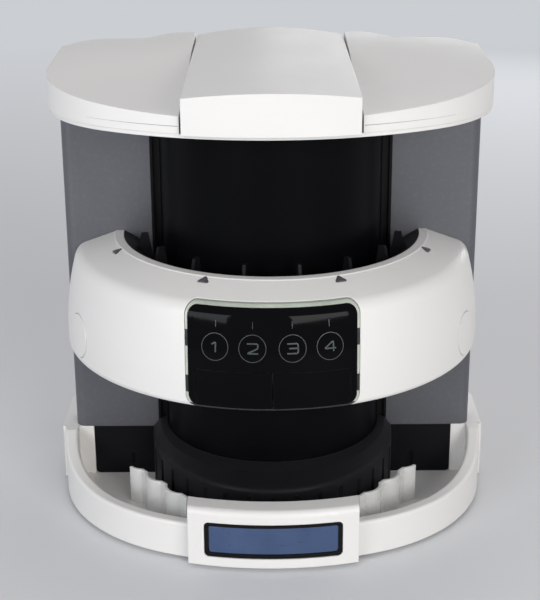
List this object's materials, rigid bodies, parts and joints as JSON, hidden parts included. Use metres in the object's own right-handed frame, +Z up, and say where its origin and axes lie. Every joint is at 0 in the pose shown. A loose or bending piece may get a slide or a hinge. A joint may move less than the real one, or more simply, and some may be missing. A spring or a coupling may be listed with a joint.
{
  "type": "phosphor plate scanner",
  "caption": "Bench-top imaging plate scanner: upright black drum, half collar with curved display and plate entrances, grey side panels, white top covers and a catch tray.",
  "frame": {"origin": "centre of the footprint, on the surface the scanner stands on", "axes": "+Z up, the display and nameplate face -Y, +X to the right seen from the front"},
  "size_m": [0.3726, 0.3237, 0.382],
  "materials": {
    "white_cover": "moulded, fine satin grain",
    "grey_panel": "satin grey coat",
    "black_drum": "satin black coat",
    "black_plastic": "satin black",
    "black_rubber": "soft matt",
    "gloss_lens": "polished black",
    "gasket_clear": "translucent moulding",
    "guard_frosted": "frosted moulding",
    "lamp_dark": "smoked lens",
    "plate_blue": "brushed slate blue",
    "steel": "zinc plated",
    "aluminium_part": "machined",
    "board_green": "solder mask",
    "roller_rubber": "ground"
  },
  "bodies": {
    "root": {"base_pan": "steel", "base_tray": "white_cover", "catch_liner": "black_rubber", "collar_floor": "white_cover", "collar_shell": "white_cover", "control_board": "board_green", "data_ports": "steel", "display_board": "board_green", "display_lens": "gloss_lens", "entrance_guide": "black_plastic", "erase_lamp_board": "board_green", "feed_belts": "black_rubber", "feed_motors": "steel", "flute_guard_left": "guard_frosted", "flute_guard_right": "guard_frosted", "frame_column_left": "steel", "frame_column_right": "steel", "guide_post_left": "black_plastic", "guide_post_right": "black_plastic", "housing_screws": "steel", "indicator_lamps": "lamp_dark", "laser_module": "aluminium_part", "lens_gasket": "gasket_clear", "light_detector": "aluminium_part", "lower_drum": "black_drum", "nameplate_bezel": "black_plastic", "nameplate_insert": "plate_blue", "optics_bracket": "steel", "power_inlet": "black_plastic", "power_supply": "steel", "rear_base_shell": "white_cover", "rear_housing": "white_cover", "rubber_feet": "black_rubber", "scan_motor": "steel", "side_cap_left": "white_cover", "side_cap_right": "white_cover", "side_panel_left": "grey_panel", "side_panel_right": "grey_panel", "switch_frame": "black_plastic", "top_cover_centre": "white_cover", "top_cover_left": "white_cover", "top_cover_right": "white_cover", "top_deck": "white_cover", "upper_drum": "black_drum"},
    "scan_head_body": {"scan_head": "aluminium_part"},
    "key_left_body": {"key_left": "gloss_lens"},
    "key_right_body": {"key_right": "gloss_lens"},
    "power_switch_body": {"power_switch": "black_plastic"},
    "feed_roller_1_body": {"feed_roller_1": "roller_rubber"},
    "feed_roller_2_body": {"feed_roller_2": "roller_rubber"},
    "feed_roller_3_body": {"feed_roller_3": "roller_rubber"},
    "feed_roller_4_body": {"feed_roller_4": "roller_rubber"},
    "idler_roller_1_body": {"idler_roller_1": "roller_rubber"},
    "idler_roller_2_body": {"idler_roller_2": "roller_rubber"},
    "idler_roller_3_body": {"idler_roller_3": "roller_rubber"},
    "idler_roller_4_body": {"idler_roller_4": "roller_rubber"}
  },
  "joints": [
    {"name": "scan_head_spin", "type": "hinge", "parent": "root", "child": "scan_head_body", "pos_m": [0, 0.01525, 0.185], "axis": [0, 0, 1], "continuous": true},
    {"name": "feed_roller_1_spin", "type": "hinge", "parent": "root", "child": "feed_roller_1_body", "pos_m": [-0.09429, -0.02381, 0.164], "axis": [0.3827, -0.9239, 0], "continuous": true},
    {"name": "idler_roller_1_spin", "type": "hinge", "parent": "root", "child": "idler_roller_1_body", "pos_m": [-0.09429, -0.02381, 0.192], "axis": [0.3827, -0.9239, 0], "continuous": true},
    {"name": "feed_roller_2_spin", "type": "hinge", "parent": "root", "child": "feed_roller_2_body", "pos_m": [-0.03906, -0.07904, 0.164], "axis": [0.9239, -0.3827, 0], "continuous": true},
    {"name": "idler_roller_2_spin", "type": "hinge", "parent": "root", "child": "idler_roller_2_body", "pos_m": [-0.03906, -0.07904, 0.192], "axis": [0.9239, -0.3827, 0], "continuous": true},
    {"name": "feed_roller_3_spin", "type": "hinge", "parent": "root", "child": "feed_roller_3_body", "pos_m": [0.03906, -0.07904, 0.164], "axis": [0.9239, 0.3827, 0], "continuous": true},
    {"name": "idler_roller_3_spin", "type": "hinge", "parent": "root", "child": "idler_roller_3_body", "pos_m": [0.03906, -0.07904, 0.192], "axis": [0.9239, 0.3827, 0], "continuous": true},
    {"name": "feed_roller_4_spin", "type": "hinge", "parent": "root", "child": "feed_roller_4_body", "pos_m": [0.09429, -0.02381, 0.164], "axis": [0.3827, 0.9239, 0], "continuous": true},
    {"name": "idler_roller_4_spin", "type": "hinge", "parent": "root", "child": "idler_roller_4_body", "pos_m": [0.09429, -0.02381, 0.192], "axis": [0.3827, 0.9239, 0], "continuous": true},
    {"name": "key_left_press", "type": "slide", "parent": "root", "child": "key_left_body", "axis": [0, 1, 0], "range_m": [0, 0.0012], "stiffness_N_per_m": 1200},
    {"name": "key_right_press", "type": "slide", "parent": "root", "child": "key_right_body", "axis": [0, 1, 0], "range_m": [0, 0.0012], "stiffness_N_per_m": 1200},
    {"name": "power_switch_rock", "type": "hinge", "parent": "root", "child": "power_switch_body", "pos_m": [-0.01806, 0.15905, 0.028], "axis": [1, 0, 0], "range_deg": [-16, 0]}
  ],
  "couplings": [
    {"joint": "idler_roller_1_spin", "follows": "feed_roller_1_spin", "ratio": 1},
    {"joint": "idler_roller_2_spin", "follows": "feed_roller_2_spin", "ratio": 1},
    {"joint": "idler_roller_3_spin", "follows": "feed_roller_3_spin", "ratio": 1},
    {"joint": "idler_roller_4_spin", "follows": "feed_roller_4_spin", "ratio": 1}
  ]
}
